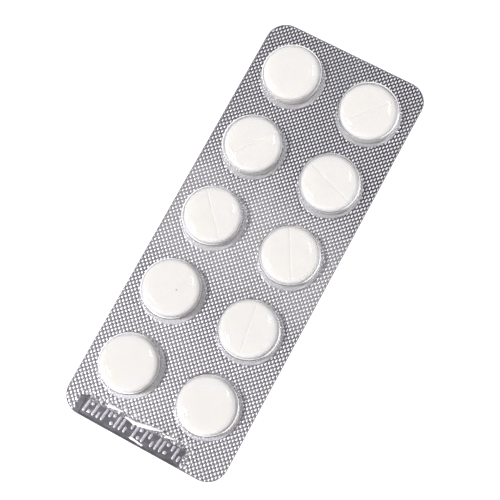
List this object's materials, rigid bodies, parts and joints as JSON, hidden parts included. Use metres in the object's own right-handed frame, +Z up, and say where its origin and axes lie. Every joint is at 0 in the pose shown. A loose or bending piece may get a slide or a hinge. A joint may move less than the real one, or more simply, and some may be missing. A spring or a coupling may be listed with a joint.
{
  "type": "tablet blister pack",
  "caption": "Flat pack of round scored tablets, each sealed between a clear drawn film pocket and embossed aluminium foil.",
  "frame": {"origin": "centre of the underside, on the surface that the pack lies on", "axes": "+Z up through the pockets, +Y along the pack to its plain end, +X across it"},
  "size_m": [0.0376, 0.0954, 0.0047],
  "materials": {
    "film": "clear glossy film",
    "foil": "bright embossed foil",
    "tablet": "pressed white powder, matt"
  },
  "bodies": {
    "root": {"pocket_film": "film", "lidding_foil": "foil", "tablet_01": "tablet", "tablet_02": "tablet", "tablet_03": "tablet", "tablet_04": "tablet", "tablet_05": "tablet", "tablet_06": "tablet", "tablet_07": "tablet", "tablet_08": "tablet", "tablet_09": "tablet", "tablet_10": "tablet"}
  },
  "joints": []
}
